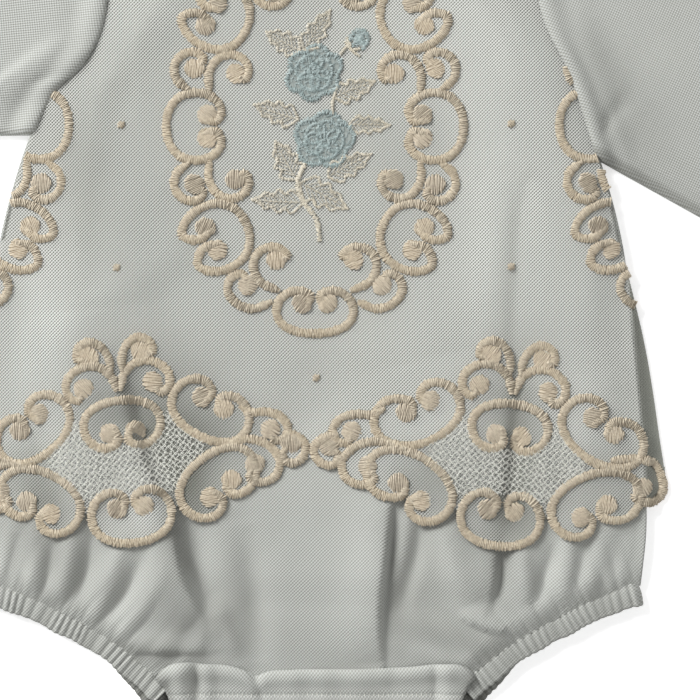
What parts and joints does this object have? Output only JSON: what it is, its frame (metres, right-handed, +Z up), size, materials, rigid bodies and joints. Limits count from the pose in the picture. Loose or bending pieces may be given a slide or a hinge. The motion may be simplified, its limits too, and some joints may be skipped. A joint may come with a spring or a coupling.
{
  "type": "baby romper",
  "caption": "Long-sleeved baby bubble romper laid flat, with a scalloped tulle overlay over knit cloth and elastic leg openings.",
  "frame": {"origin": "on the surface that the garment lies on, under the middle of its bounding box", "axes": "+X to the right as seen from the front, from cuff to cuff; +Y up the body towards the neck; +Z up off the surface, out of the front"},
  "size_m": [0.661, 0.4228, 0.0138],
  "materials": {
    "knit": "fine pale grey-green birdseye knit with a soft sheen",
    "tulle": "fine see-through mesh with raised cream satin-stitch scrolls and blue roses",
    "casing": "the same knit, gathered tightly on elastic",
    "band": "the same knit, doubled and stitched",
    "binding": "narrow folded strip of the same knit"
  },
  "bodies": {
    "root": {"body_front": "knit", "body_back": "knit", "sleeve_left": "knit", "sleeve_right": "knit", "overlay_front": "tulle", "overlay_back": "tulle", "leg_casing_left": "casing", "leg_casing_right": "casing", "crotch_band": "band", "neck_binding": "binding"}
  },
  "joints": []
}
